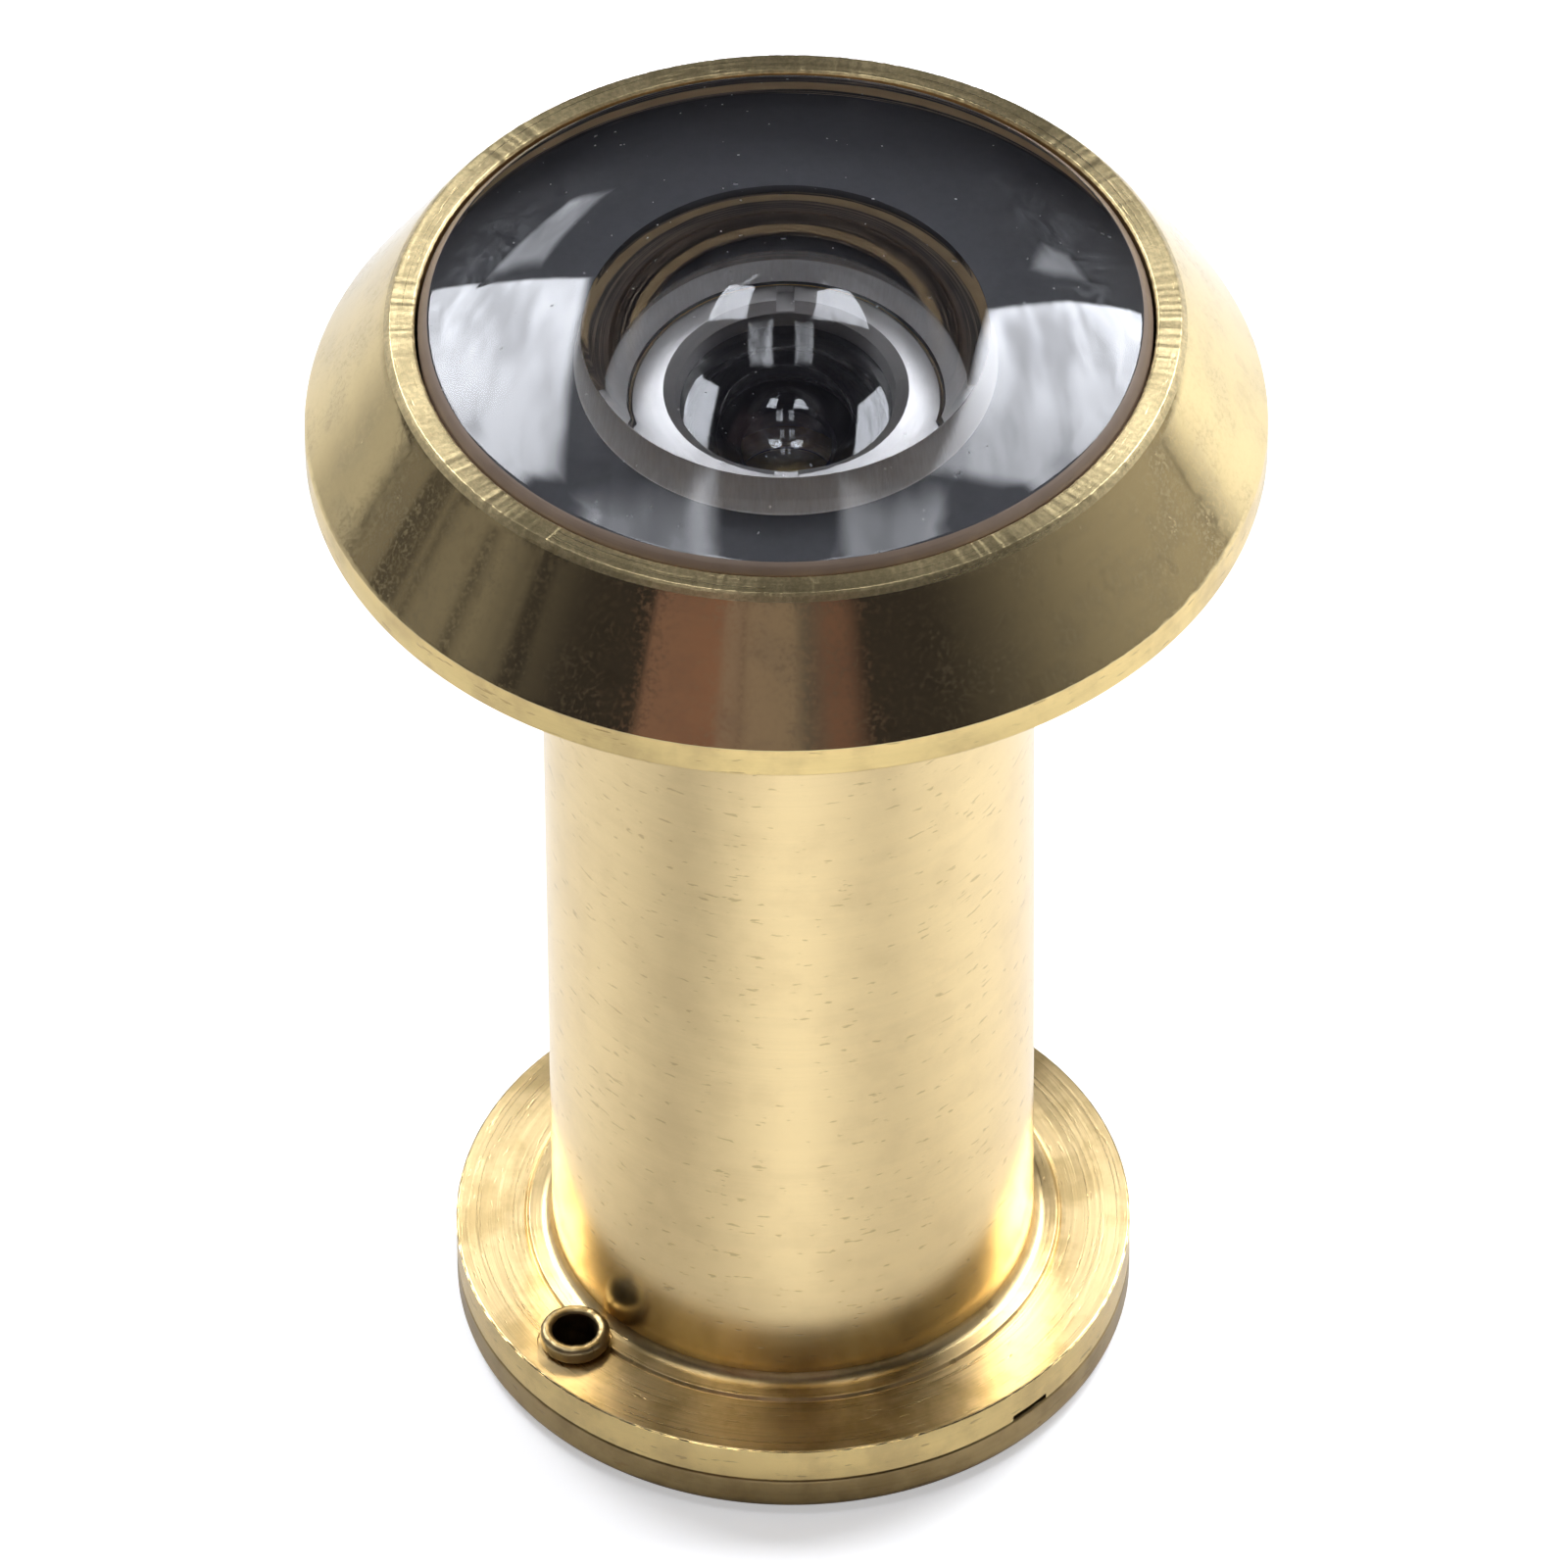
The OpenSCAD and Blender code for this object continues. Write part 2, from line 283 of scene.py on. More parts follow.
# ---------------------------------------------------------------- materials
class Tree:
    """A short way to write a node tree."""

    def __init__(self, name):
        self.mat = bpy.data.materials.new(name)
        self.mat.use_nodes = True
        self.nt = self.mat.node_tree
        self.bsdf = self.nt.nodes["Principled BSDF"]
        self.coord = self.node("ShaderNodeTexCoord").outputs["Object"]

    def node(self, kind, **inputs):
        n = self.nt.nodes.new(kind)
        for k, v in inputs.items():
            self.put(n, k, v)
        return n

    def put(self, n, key, value):
        socket = n.inputs[int(key[1:])] if key[0] == "i" and key[1:].isdigit() else n.inputs[key.replace("_", " ")]
        if isinstance(value, bpy.types.NodeSocket):
            self.nt.links.new(value, socket)
        else:
            socket.default_value = value

    def math(self, op, a, b=0.0, c=0.0, clamp=False):
        n = self.node("ShaderNodeMath", i0=a, i1=b, i2=c)
        n.operation, n.use_clamp = op, clamp
        return n.outputs[0]

    def vector(self, x, y, z):
        return self.node("ShaderNodeCombineXYZ", i0=x, i1=y, i2=z).outputs[0]

    def noise(self, vector, scale, detail=2.0, rough=0.5):
        n = self.node("ShaderNodeTexNoise", Vector=vector, Scale=scale, Detail=detail, Roughness=rough)
        return n.outputs["Fac"]

    def wrapped_noise(self, c, s, up, around, along, detail=2.0, rough=0.5):
        """Noise wrapped round the axis: around is its scale with the angle, and along its scale with up."""
        where = self.vector(*(self.math("MULTIPLY", v, k) for v, k in ((c, around), (s, around), (up, along))))
        return self.noise(where, 1.0, detail, rough)

    def in_mm(self):
        n = self.node("ShaderNodeVectorMath", i0=self.coord, i1=(1 / MM, 1 / MM, 1 / MM))
        n.operation = "MULTIPLY"
        return n.outputs[0]

    def relief(self, height, strength, depth):
        """Bumps up to depth mm high, where height is 0 to 1."""
        n = self.node("ShaderNodeBump", Height=height, Strength=strength, Distance=depth * MM)
        self.put(self.bsdf, "Normal", n.outputs[0])

    def ramp(self, fac, stops):
        n = self.node("ShaderNodeValToRGB", Fac=fac)
        e = n.color_ramp.elements
        while len(e) < len(stops):
            e.new(0.5)
        for item, (at, colour) in zip(e, stops):
            item.position = at
            item.color = (*colour, 1) if len(colour) == 3 else colour
        return n.outputs["Color"]

    def span(self, value, a, b, lo, hi, smooth=True):
        n = self.node("ShaderNodeMapRange", Value=value)
        n.interpolation_type = "SMOOTHSTEP" if smooth else "LINEAR"
        n.inputs[1].default_value, n.inputs[2].default_value = a, b
        n.inputs[3].default_value, n.inputs[4].default_value = lo, hi
        return n.outputs["Result"]

    def mix(self, fac, a, b):
        n = self.nt.nodes.new("ShaderNodeMix")
        n.data_type = "RGBA"
        self.put(n, "i0", fac)
        for i, v in ((6, a), (7, b)):
            if isinstance(v, bpy.types.NodeSocket):
                self.nt.links.new(v, n.inputs[i])
            else:
                n.inputs[i].default_value = (*v, 1)
        return n.outputs[2]

    def cylinder(self, centre=None):
        """Direction round the axis as (cos, sin), the radius, and the height, in mm."""
        x, y, z = (self.node("ShaderNodeSeparateXYZ", Vector=self.coord).outputs[i] for i in range(3))
        x, y, z = (self.math("MULTIPLY", v, 1 / MM) for v in (x, y, z))
        if centre:
            x, y = self.math("SUBTRACT", x, centre[0]), self.math("SUBTRACT", y, centre[1])
        r = self.math("SQRT", self.math("ADD", self.math("MULTIPLY", x, x), self.math("MULTIPLY", y, y)))
        r = self.math("MAXIMUM", r, 0.01)
        return self.math("DIVIDE", x, r), self.math("DIVIDE", y, r), r, z


def brass(name, colour, dull, roughness, anisotropy=0.0, marks=0.3, mark_scale=9.0, mottle=0.0,
          ticks=0.0, dirt=0.25, centre=None, bump=1.0, pits=0.5, tint=0.5, speckle=0.0, corner_shade=False):
    """Turned brass. colour is the clean metal and dull the tarnish, which dirt spreads and speckle dots about.
    marks are the fine lines that the tool left round the axis, and tint is how far they colour the metal. mottle is the
    cloudy wear of the polish, ticks radial chatter, pits small dents, and corner_shade the painted shade in the corner
    at the foot of the barrel."""
    t = Tree(name)
    c, s, r, z = t.cylinder(centre)
    along = t.math("ADD", t.math("MULTIPLY", z, 1.0), t.math("MULTIPLY", r, 1.7))
    fine = t.wrapped_noise(c, s, along, 0.8, mark_scale, 3.0, 0.75)
    broad = t.wrapped_noise(c, s, along, 0.3, 2.3)
    mm = t.in_mm()
    cloud = t.noise(mm, 0.55, 4.0, 0.6)
    grain = t.noise(mm, 6.0, 3.0, 0.7)
    specks = t.wrapped_noise(c, s, along, 11, 6.0, 2.0, 0.55)
    pit = t.span(specks, 0.655, 0.70, 0.0, 1.0)

    worn = t.span(cloud, 0.42, 0.68, 0.0, 1.0)
    colour_mix = t.mix(t.math("MULTIPLY", worn, dirt), colour, dull)
    both = t.math("ADD", t.math("MULTIPLY", fine, 0.6), t.math("MULTIPLY", broad, 0.4))
    shade = t.span(both, 0.35, 0.65, 1.0 - 0.16 * tint, 1.0)
    if speckle:
        dots = t.math("MULTIPLY", t.span(grain, 0.42, 0.60, 1.0, 0.0), speckle)
        colour_mix = t.mix(dots, colour_mix, tuple(0.6 * v for v in dull))
    # Painted shade: the colour darkens towards the foot of the barrel, in the corner where shade falls.
    if corner_shade:
        shade = t.math("MULTIPLY", shade, t.span(r, BARREL_R + 0.1, BARREL_R + 0.8, 0.8, 1.0))
    scaled = t.node("ShaderNodeVectorMath", i0=colour_mix)
    scaled.operation = "SCALE"
    t.put(scaled, "Scale", shade)
    with_pits = t.mix(t.math("MULTIPLY", pit, 0.55 * pits), scaled.outputs[0], (0.30, 0.19, 0.08))
    t.put(t.bsdf, "Base_Color", with_pits)
    t.bsdf.inputs["Metallic"].default_value = 1.0
    rough = t.math("ADD", roughness, t.math("MULTIPLY", t.math("SUBTRACT", fine, 0.5), 0.25 * marks))
    if mottle:
        haze = t.math("MULTIPLY", t.span(grain, 0.45, 0.62, 0.0, 1.0), t.span(cloud, 0.35, 0.7, 0.35, 1.0))
        rough = t.math("ADD", rough, t.math("MULTIPLY", haze, mottle))
    t.put(t.bsdf, "Roughness", t.math("MAXIMUM", rough, 0.03))
    if anisotropy:
        t.bsdf.inputs["Anisotropic"].default_value = anisotropy
        t.bsdf.inputs["Anisotropic Rotation"].default_value = 0.25
        tangent = t.node("ShaderNodeTangent")
        tangent.direction_type, tangent.axis = "RADIAL", "Z"
        t.put(t.bsdf, "Tangent", tangent.outputs[0])
    height = t.math("MULTIPLY", fine, marks)
    height = t.math("SUBTRACT", height, t.math("MULTIPLY", pit, pits * 0.8))
    if ticks:
        chatter = t.wrapped_noise(c, s, r, 75, 0.8, 2.0, 0.6)
        height = t.math("ADD", height, t.math("MULTIPLY", chatter, ticks))
    t.relief(height, 0.5, 0.02 * bump)
    return t.mat


def glass(name, colour, roughness=0.0, ior=1.52, ground=0.0, dusty=0.0):
    """Polished glass with a little dust, or a ground face where ground is its roughness."""
    t = Tree(name)
    t.bsdf.inputs["Transmission Weight"].default_value = 1.0
    t.bsdf.inputs["IOR"].default_value = ior
    mm = t.in_mm()
    cloud = t.noise(mm, 0.8)
    t.put(t.bsdf, "Base_Color", t.mix(t.span(cloud, 0.3, 0.7, 0, 1), colour, tuple(0.985 * v for v in colour)))
    if ground:
        c, s, _, z = t.cylinder()
        lines = t.wrapped_noise(c, s, z, 10, 22, 3.0, 0.7)
        t.put(t.bsdf, "Roughness", t.span(lines, 0.3, 0.7, ground * 0.6, ground))
        t.relief(lines, 0.4, 0.03)
    else:
        dust = t.span(t.noise(mm, 3.5), 0.735, 0.76, 0.0, 0.35)
        t.put(t.bsdf, "Roughness", t.math("ADD", roughness, t.math("MULTIPLY", dust, dusty)))
    return t.mat


def plain(name, colour, dull, roughness, scale=2.0, bump=0.02):
    """Black paint, rubber and other dull coats: a fine grain in colour, gloss and height."""
    t = Tree(name)
    grain = t.noise(t.in_mm(), scale, 3.0, 0.6)
    t.put(t.bsdf, "Base_Color", t.mix(t.span(grain, 0.35, 0.65, 0, 1), colour, dull))
    t.put(t.bsdf, "Roughness", t.span(grain, 0.3, 0.7, roughness - 0.08, roughness + 0.08))
    t.relief(grain, 0.3, bump)
    return t.mat


BRASS = (0.86, 0.67, 0.33)
SATIN = (0.90, 0.695, 0.36)
TARNISH = (0.50, 0.36, 0.17)
M_BEVEL = brass("bevel_brass", BRASS, (0.62, 0.50, 0.28), 0.075, marks=0.15, mottle=0.2,
                dirt=0.35, bump=0.2, pits=0.2, tint=0.3)
M_CREST = brass("crest_brass", (0.82, 0.66, 0.35), (0.54, 0.43, 0.22), 0.30, 0.85, marks=0.8, mark_scale=7,
                ticks=0.12, dirt=0.7, bump=0.8, pits=0.6, speckle=0.35)
M_RIM = brass("rim_brass", (0.88, 0.665, 0.285), TARNISH, 0.24, 0.5, marks=0.5, dirt=0.45, bump=0.7, pits=0.9)
M_BARREL = brass("barrel_brass", SATIN, (0.74, 0.56, 0.29), 0.20, 0.45, marks=0.25, mark_scale=11,
                 dirt=0.35, bump=0.35, pits=0.7, tint=0.25)
M_FLANGE = brass("flange_brass", (0.84, 0.63, 0.31), (0.56, 0.40, 0.17), 0.30, 0.88, marks=0.8, mark_scale=7,
                 dirt=0.8, bump=0.9, pits=0.8, tint=1.0, corner_shade=True)
M_INNER = brass("inner_brass", (0.84, 0.60, 0.28), TARNISH, 0.30, 0.4, marks=1.0, mark_scale=6,
                dirt=0.5, bump=1.5, pits=0.4)
# The cover's brass is dark: partly its duller, smudged finish, partly painted shade for the contact shadow it reflects
# from the floor beneath.
M_COVER = brass("cover_brass", (0.44, 0.32, 0.145), (0.29, 0.20, 0.085), 0.30, 0.5, marks=0.5,
                dirt=0.7, bump=0.8, pits=1.0)
RIVET_CENTRE = RIVET_AT * math.cos(RIVET_ANGLE), RIVET_AT * math.sin(RIVET_ANGLE)
# The rivet's brass is darkened: painted shade for the barrel's occlusion beside it, over its own tarnish.
M_RIVET = brass("rivet_brass", (0.52, 0.40, 0.20), (0.26, 0.19, 0.09), 0.38, marks=0.8,
                dirt=0.8, bump=1.5, pits=0.8, centre=RIVET_CENTRE)
# The inside of the rivet's hole is near black: painted shade down the hole.
M_RIVET_HOLE_SHADE = brass("rivet_hole_shade", (0.20, 0.14, 0.07), (0.09, 0.065, 0.03), 0.5, marks=0.8,
                     dirt=0.9, centre=RIVET_CENTRE)
# The notch is coloured near black: painted shade in the notch.
M_NICK_SHADE = brass("nick_shade_brass", (0.16, 0.11, 0.05), (0.07, 0.05, 0.02), 0.5, marks=0.8, dirt=0.9)
M_GLASS = glass("lens_polished", (0.985, 0.99, 1.0), roughness=0.012, dusty=1.0)
M_INNER_GLASS = glass("inner_lens", (0.98, 0.99, 1.0), ior=1.6)
M_GROUND = glass("lens_edge", (0.93, 0.92, 0.92), ground=0.4)


def painted_edge_reflection():
    """The front lens's ground edge, painted with the brass pocket wall seen through and in the glass: a painted
    reflection, tan shaded brass at the top and golden lit brass lower down, with dark bands of fine lines between, the
    wall's turned grooves in painted shade.
    """
    t = Tree("lens_edge_painted_reflection")
    c, s, _, z = t.cylinder()
    lines = t.wrapped_noise(c, s, z, 1.0, 7.0, 3.0, 0.7)
    smear = t.wrapped_noise(c, s, z, 9.0, 1.0)
    # Painted reflection of the pocket wall: dark shaded grooves, tan shaded brass and golden lit brass.
    dark = t.ramp(lines, [(0.42, (0.03, 0.025, 0.02)), (0.52, (0.08, 0.06, 0.045)), (0.58, (0.5, 0.40, 0.30))])
    tan = t.mix(smear, (0.18, 0.13, 0.095), (0.29, 0.215, 0.155))
    gold = t.mix(smear, (0.62, 0.43, 0.22), (0.95, 0.72, 0.42))
    height = t.math("ADD", t.math("SUBTRACT", z, LENS_Z), t.math("MULTIPLY", smear, 0.3))
    band = t.math("ADD", t.span(height, 2.0, 2.2, 0, 1), t.span(height, 0.7, 0.9, 1, 0))
    band = t.math("MULTIPLY", band, t.span(height, 3.7, 3.9, 1, 0))
    wall_seen = t.mix(t.span(height, 3.0, 3.2, 0, 1), gold, tan)
    t.put(t.bsdf, "Base_Color", t.mix(band, wall_seen, dark))
    t.put(t.bsdf, "Roughness", t.span(lines, 0.3, 0.7, 0.35, 0.55))
    t.relief(lines, 0.4, 0.03)
    return t.mat


def frosted_wall():
    """The hollow's ground wall: frosted, with fine upright marks."""
    t = Tree("lens_ground_wall")
    c, s, _, z = t.cylinder()
    marks = t.wrapped_noise(c, s, z, 45, 0.8, 3.0, 0.7)
    t.put(t.bsdf, "Base_Color", t.ramp(marks, [(0.35, (0.88, 0.86, 0.84)), (0.62, (1.0, 0.99, 0.98))]))
    t.bsdf.inputs["Transmission Weight"].default_value = 0.15
    t.bsdf.inputs["IOR"].default_value = 1.52
    t.put(t.bsdf, "Roughness", t.span(marks, 0.3, 0.7, 0.3, 0.55))
    t.relief(marks, 0.5, 0.02)
    return t.mat


M_EDGE_REFLECTION = painted_edge_reflection()
M_WALL = frosted_wall()
M_PAINT = plain("lens_black_paint", (0.042, 0.043, 0.050), (0.050, 0.051, 0.058), 0.5, scale=3.0, bump=0.0)
M_BLACK = plain("black_coat", (0.040, 0.040, 0.044), (0.055, 0.055, 0.060), 0.5)
M_RING = brass("ring_plated", (0.56, 0.55, 0.54), (0.44, 0.42, 0.40), 0.50, marks=0.8, mark_scale=6,
               dirt=0.3, bump=0.8, pits=0.2)
M_RUBBER = plain("gasket_rubber", (0.03, 0.03, 0.03), (0.045, 0.045, 0.045), 0.7)


# ---------------------------------------------------------------- the head: bezel, pocket and threaded tube
HEAD_SLOTS = [M_BEVEL, M_CREST, M_RIM, M_INNER, M_RING, M_BLACK]
BEVEL, CREST, RIM, INNER, RING, BLACK = range(len(HEAD_SLOTS))
TUBE_BORE_R = 5.95


def head():
    count = 768
    lip, lip_z = 12.36, CREST_Z - 0.08
    pocket = LENS_R + 0.08
    mouth = LENS_R + 0.12
    bevel_rings = (0.04, 0.1, 0.3, 0.7, 0.9, 0.96)    # plain rings that keep the burrs' ripples off the bevel
    outline = fillet([
        (TUBE_BORE_R, POCKET_Z, 0.1), (pocket, POCKET_Z, 0.05), (pocket, CREST_Z - 1.8, 0.05),
        (mouth, CREST_Z - 1.5, 0.05), (mouth, CREST_Z - 0.07, 0.03), (mouth + 0.07, CREST_Z, 0.03),
        (12.28, CREST_Z, 0.03), (lip, lip_z, 0.03),
        *((lip + (HEAD_R - lip) * f, lip_z + (RIM_Z - lip_z) * f, 0) for f in bevel_rings),
        (HEAD_R, RIM_Z, 0.05), (HEAD_R, HEAD_Z, 0.1), (7.9, HEAD_Z, 0.05), (7.9, HEAD_Z + 0.15, 0.02),
        (6.55, HEAD_Z + 0.15, 0),
    ])[1:]

    def at_crest(r, z):
        return z > lip_z - 0.02 and mouth - 0.01 < r < lip + 0.01

    def at_rim(r, z):
        return abs(z - RIM_Z) < 0.03 and r > HEAD_R - 0.01

    def slot_of(r, z):
        if z > CREST_Z - 0.2 and r > mouth - 0.01:
            return CREST
        if z > RIM_Z - 0.02 and r > 12:
            return BEVEL
        if z > HEAD_Z + 0.5 and r <= 14.5:
            return INNER
        return RIM

    t = Turning()
    rings = t.profile(outline, count, closed=False, slot_of=slot_of,
                      burrs=[(at_crest, 500, 0.03, 11), (at_rim, 300, 0.006, 15)])
    last = threaded_tube(t, rings[-1])
    t.join(last, rings[0], RING)
    obj = t.build("head_turned", HEAD_SLOTS)
    settle(obj, "head", ["head"])


def threaded_tube(t, last):
    """The tube from the relief under the head down to its end, then up its bore to the pocket's floor."""
    count, steps_per_pitch = 96, 8
    major, depth = 7.0, 0.4575
    root = major - depth
    start = HEAD_Z - 1.5
    steps = int((start - TUBE_Z - 0.3) / PITCH * steps_per_pitch)
    angle = np.arange(count) * TAU / count

    def onward(r, z, slot):
        nonlocal last
        here = t.ring(r, z, count)
        t.join(last, here, slot)
        last = here

    onward(root, start + 0.05, INNER)
    for i in range(steps + 1):
        z = start - i * PITCH / steps_per_pitch
        phase = (z / PITCH - angle / TAU) % 1.0
        tooth = np.clip(1.25 - np.abs(phase - 0.5) * 3.0, 0, 1)
        fade = min(1.0, i / (steps_per_pitch * 0.8), (steps - i) / (steps_per_pitch * 0.8) + 0.05)
        onward(root + depth * tooth * fade, z, INNER)
    ledge = bottom("third_lens") - 0.03
    seat = bottom("lens_retainer") - 0.2
    for r, z in [(root, TUBE_Z + 0.12), (root - 0.12, TUBE_Z), (5.5, TUBE_Z), (5.4, TUBE_Z + 0.1),
                 (5.4, ledge - 1.3), (4.7, ledge - 0.8), (4.7, ledge), (TUBE_BORE_R, ledge),
                 (TUBE_BORE_R, seat), (TUBE_BORE_R, POCKET_Z - 0.1)]:
        onward(r, z, BLACK if ledge - 1.4 < z <= seat else RING if z > seat else INNER)
    return last


# ---------------------------------------------------------------- the sleeve: barrel and room-side flange
SLEEVE_SLOTS = [M_BARREL, M_FLANGE, M_RIM, M_NICK_SHADE]
BARREL, FLANGE, EDGE, NICK = range(len(SLEEVE_SLOTS))


def sleeve():
    foot, step = 0.4, 8.5
    bore, eye_hole, eye_pocket = 7.05, 4.3, 5.55
    web_z, web_top = 5.7, 6.5
    in_1, in_2 = FLANGE_R - 0.16, FLANGE_R - 0.4    # plain rings that keep the burrs' ripples off the flat faces
    outline = fillet([
        (eye_pocket, FLANGE_Z, 0.05), (in_2, FLANGE_Z, 0), (in_1, FLANGE_Z, 0), (FLANGE_R, FLANGE_Z, 0.025),
        (FLANGE_R, SEAT_Z, 0.05), (in_1, SEAT_Z, 0), (in_2, SEAT_Z, 0),
        (step + 0.16, SEAT_Z, 0.02), (step + 0.09, SEAT_Z - 0.05, 0.02), (step, SEAT_Z + 0.08, 0.03),
        *arc(BARREL_R + foot, SEAT_Z + foot + 0.08, foot, 270, 180, 10),
        (BARREL_R, SLEEVE_END, 0.12), (bore, SLEEVE_END, 0.1), (bore, web_top, 0.05),
        (eye_hole, web_top, 0.05), (eye_hole, web_z, 0.05), (eye_pocket, web_z, 0.05),
    ])

    def slot_of(r, z):
        if r > BARREL_R - 0.3 and z > SEAT_Z + 0.5:
            return BARREL
        return EDGE if r > FLANGE_R - 0.02 else FLANGE

    def top_edge(r, z):
        return abs(z - SEAT_Z) < 0.05 and r > FLANGE_R - 0.06

    def low_edge(r, z):
        return abs(z - FLANGE_Z) < 0.05 and r > FLANGE_R - 0.06

    t = Turning()
    t.profile(outline, 480, slot_of=slot_of, burrs=[(top_edge, 420, 0.03, 21), (low_edge, 300, 0.008, 25)])
    obj = t.build("sleeve_turned", SLEEVE_SLOTS)
    hole, spot = 1.0, 1.205
    cut(obj, [
        rivet_drill("cut_hole", [(0, FLANGE_Z - 1), (hole, FLANGE_Z - 1), (hole, SEAT_Z + 2), (0, SEAT_Z + 2)],
                    48, M_FLANGE),
        rivet_drill("cut_spot", [(0, SEAT_Z - 0.05), (spot - 0.015, SEAT_Z - 0.05), (spot, SEAT_Z - 0.03),
                                 (spot, SEAT_Z + 1), (0, SEAT_Z + 1)], 64, M_FLANGE),
        nick_cutter(),
    ])
    settle(obj, "sleeve", ["sleeve"])


def nick_cutter():
    """A shallow wedge at the flange's lower edge, wider and higher outside."""
    t = Turning()
    t.verts = [((FLANGE_R + x) * MM, y * MM, (FLANGE_Z + z) * MM)
               for rise in (1, 0)
               for x, y, z in ((-0.9, -0.7, 0.22 if rise else -1), (-0.9, 0.7, 0.22 if rise else -1),
                               (1, 0.78, 0.25 if rise else -1), (1, -0.78, 0.25 if rise else -1))]
    t.faces = [(0, 1, 2, 3), (7, 6, 5, 4), (0, 4, 5, 1), (1, 5, 6, 2), (2, 6, 7, 3), (3, 7, 4, 0)]
    t.slots = [NICK] * len(t.faces)
    return t.build("cut_nick", SLEEVE_SLOTS, Matrix.Rotation(NICK_ANGLE, 4, "Z"))


# ---------------------------------------------------------------- lenses
LENS_SLOTS = [M_GLASS, M_EDGE_REFLECTION, M_PAINT, M_WALL]
GLASS, EDGE_REFLECTION, PAINT, WALL = range(len(LENS_SLOTS))


def front_lens():
    crown_r, edge, edge_z = 31.6, 0.32, LENS_Z + 4.35
    edge_r = LENS_R - edge
    under = LENS_Z + 0.02    # a little clear of the mask, so that the two faces don't coincide
    crown_c = edge_z - math.sqrt(crown_r**2 - edge_r**2)
    bowl_r, bowl_half, wall = 7.7, 6.0, 2.0
    roof_c = LENS_Z + wall - math.sqrt(bowl_r**2 - bowl_half**2)
    dome_steps, roof_steps = 40, 32
    a_max = math.asin((edge_r - 0.05) / crown_r)
    b_max = math.asin((bowl_half - 0.02) / bowl_r)

    def on_sphere(radius, centre, angle):
        return radius * math.sin(angle), centre + radius * math.cos(angle)

    roof = [on_sphere(bowl_r, roof_c, b_max * i / roof_steps) for i in range(1, roof_steps + 1)]
    dome = [on_sphere(crown_r, crown_c, a_max * i / dome_steps) for i in range(dome_steps, 0, -1)]
    wall_top = roof[-1][1]
    points = [
        (0, roof_c + bowl_r), *roof,
        (bowl_half, wall_top - 0.02), (bowl_half, wall_top - 0.06), (bowl_half, under + 0.05),
        (bowl_half + 0.03, under + 0.015), (bowl_half + 0.06, under),
        (LENS_R - 0.1, under), (LENS_R - 0.04, under + 0.02), (LENS_R, under + 0.08),
        (LENS_R, edge_z - edge - 0.03), (LENS_R - 0.01, edge_z - edge), (edge_r + 0.03, edge_z - 0.01),
        *dome, (0, crown_c + crown_r),
    ]

    def slot_of(r, z):
        if abs(z - under) < 0.012 and r > bowl_half:
            return PAINT
        # The edge and the crown's chamfer take the painted reflection of the brass pocket wall, with its light and
        # shade.
        if r > LENS_R - 0.045 and z < edge_z - edge - 0.01:
            return EDGE_REFLECTION
        if r > edge_r + 0.01 and z > edge_z - edge - 0.01:
            return EDGE_REFLECTION
        if abs(r - bowl_half) < 0.04 and z < wall_top - 0.03:
            return WALL
        return GLASS

    def at_wall_top(r, z):
        return abs(r - bowl_half) < 0.05 and z > LENS_Z + 1.5

    def at_crown_edge(r, z):
        return r > edge_r - 0.06 and z > edge_z - 0.05

    turned("front_lens_glass", points, 256, LENS_SLOTS, "head", "lens_glass", ["front_lens"], closed=False,
           slot_of=slot_of, burrs=[(at_wall_top, 260, 0.012, 31), (at_crown_edge, 300, 0.008, 35)])


def cap(r_max, radius, z_edge, sign, steps):
    """Points of a spherical face from the axis out to r_max. sign 1 bulges up, and -1 down."""
    base = math.sqrt(radius**2 - r_max**2)
    widest = math.asin(r_max / radius)
    return [(radius * math.sin(widest * i / steps), z_edge + sign * (radius * math.cos(widest * i / steps) - base))
            for i in range(steps + 1)]


def inner_lens(node, points, body, ground_from):
    """A small lens, polished but for its ground edge."""
    turned(node + "_glass", points, 128, [M_INNER_GLASS, M_GROUND], body, "lens_glass", [node], closed=False,
           slot_of=lambda r, z: 1 if r > ground_from else 0)


def inner_lenses():
    r = 5.85
    z0, z1 = bottom("second_lens"), top("second_lens")
    inner_lens("second_lens", cap(4.3, 5.0, z0, 1, 24)
               + [(4.34, z0), (r - 0.1, z0), (r, z0 + 0.1), (r, z1 - 0.12), (r - 0.12, z1), (4.9, z1), (0, z1)],
               "lens_pack", r - 0.11)
    z0, z1 = bottom("third_lens"), top("third_lens")
    sag = 16 - math.sqrt(16**2 - r**2)
    inner_lens("third_lens", cap(r - 0.03, 16, z0 + sag, -1, 16)
               + [(r, z0 + sag + 0.04), (r, z1 - sag - 0.04)] + cap(r - 0.03, 16, z1 - sag, 1, 16)[::-1],
               "lens_pack", r - 0.02)
    r, z1 = 5.4, top("eyepiece_lens")
    inner_lens("eyepiece_lens", cap(r - 0.03, 14, z1 - 1.2, -1, 16)
               + [(r, z1 - 1.16), (r, z1 - 0.08), (r - 0.08, z1), (0, z1)],
               "sleeve", r - 0.02)


